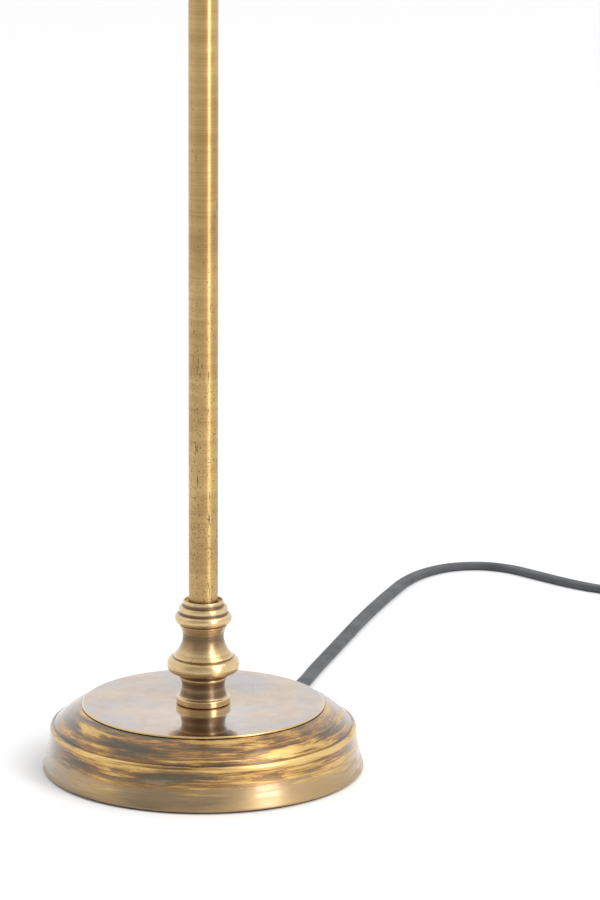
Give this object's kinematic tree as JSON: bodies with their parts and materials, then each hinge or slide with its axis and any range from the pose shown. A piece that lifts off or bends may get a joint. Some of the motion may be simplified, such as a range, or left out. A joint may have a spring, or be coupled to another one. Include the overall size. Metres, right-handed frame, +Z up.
{
  "type": "floor lamp",
  "caption": "Adjustable pharmacy floor lamp in antique brass: stepped round base, turned spindle, telescoping mast, tilting arm, dome shade and coiled mains cord.",
  "frame": {"origin": "centre of the round base, on the floor", "axes": "+Z up along the mast, -Y forward along the arm towards the shade, +X to the right"},
  "size_m": [0.4595, 0.7526, 1.0258],
  "materials": {
    "tube_brass": "brushed brass with fine pits",
    "turned_brass": "satin turned brass, dark in the recesses",
    "base_brass": "worn dark lacquer over golden brass",
    "disc_brass": "polished, mottled and finely scratched",
    "spun_brass": "satin spun brass",
    "lamp_contact_brass": "plain brass",
    "ballast_iron": "raw casting",
    "felt": "pressed felt",
    "plated_steel": "zinc plated",
    "nylon": "natural nylon",
    "phenolic": "moulded phenolic",
    "cap_aluminium": "rolled thread",
    "lamp_glass": "clear glass",
    "filament_wire": "drawn wire",
    "lead_insulation": "matt",
    "cord_jacket": "matt flexible jacket",
    "plug_plastic": "moulded flexible plastic"
  },
  "bodies": {
    "base_and_column": {"base_cover": "base_brass", "base_disc": "disc_brass", "base_weight": "ballast_iron", "base_felt": "felt", "base_washer": "plated_steel", "base_nut": "plated_steel", "center_nipple": "plated_steel", "spindle": "turned_brass", "column_tube": "tube_brass", "tube_coupler": "lamp_contact_brass", "guide_bush": "nylon", "column_collar": "turned_brass", "column_lead": "lead_insulation", "cord_relief": "plug_plastic", "cord_run": "cord_jacket", "cord_coil": "cord_jacket", "cord_tail": "cord_jacket", "cord_tie": "plug_plastic", "plug_body": "plug_plastic", "plug_blades": "lamp_contact_brass"},
    "clamp_screw": {"clamp_screw": "turned_brass"},
    "rod": {"sliding_rod": "tube_brass", "stop_sleeve": "nylon", "rod_spigot": "turned_brass", "swivel_washer": "nylon", "swivel_nut": "plated_steel", "rod_lead": "lead_insulation"},
    "swivel": {"swivel_fork": "turned_brass", "arm_bolt": "turned_brass", "arm_slip_washers": "nylon"},
    "arm_knob": {"arm_knob": "turned_brass"},
    "arm": {"arm_tongue": "turned_brass", "arm_tube": "tube_brass", "arm_spigot": "turned_brass", "link_washer": "nylon", "link_nut": "plated_steel", "arm_lead": "lead_insulation"},
    "link": {"link_fork": "turned_brass", "shade_bolt": "turned_brass", "shade_slip_washers": "nylon", "shade_cap_nut": "turned_brass"},
    "head": {"shade_tongue": "turned_brass", "head_nipple": "plated_steel", "head_nut": "plated_steel", "socket_cup": "spun_brass", "dome_shade": "spun_brass", "shade_ring": "nylon", "socket_shell": "phenolic", "socket_screws": "lamp_contact_brass", "screw_shell": "lamp_contact_brass", "socket_contact": "lamp_contact_brass", "lamp_base": "cap_aluminium", "lamp_insulator": "phenolic", "lamp_contact": "cap_aluminium", "lamp_globe": "lamp_glass", "lamp_stem": "lamp_glass", "lamp_filament": "filament_wire", "switch_nut": "plated_steel"},
    "switch": {"switch_shaft": "plated_steel", "switch_knob": "turned_brass"}
  },
  "joints": [
    {"name": "clamp_turn", "type": "hinge", "parent": "base_and_column", "child": "clamp_screw", "pos_m": [0.02, 0, 0.769], "axis": [1, 0, 0], "range_deg": [0, 270]},
    {"name": "mast_slide", "type": "slide", "parent": "base_and_column", "child": "rod", "axis": [0, 0, 1], "range_m": [-0.2, 0.2]},
    {"name": "head_swivel", "type": "hinge", "parent": "rod", "child": "swivel", "pos_m": [0, 0, 0.9865], "axis": [0, 0, 1], "range_deg": [-170, 170]},
    {"name": "arm_knob_turn", "type": "hinge", "parent": "swivel", "child": "arm_knob", "pos_m": [0.014, 0, 1.0154], "axis": [1, 0, 0], "range_deg": [0, 270]},
    {"name": "arm_tilt", "type": "hinge", "parent": "swivel", "child": "arm", "pos_m": [0, 0, 1.0154], "axis": [-1, 0, 0], "range_deg": [-35, 60]},
    {"name": "shade_turn", "type": "hinge", "parent": "arm", "child": "link", "pos_m": [0, -0.2139, 1.0154], "axis": [0, -1, 0], "range_deg": [-150, 150]},
    {"name": "shade_tilt", "type": "hinge", "parent": "link", "child": "head", "pos_m": [0, -0.2439, 1.0154], "axis": [-1, 0, 0], "range_deg": [-30, 100]},
    {"name": "switch_turn", "type": "hinge", "parent": "head", "child": "switch", "pos_m": [0.025, -0.2439, 0.9704], "axis": [1, 0, 0], "continuous": true}
  ]
}
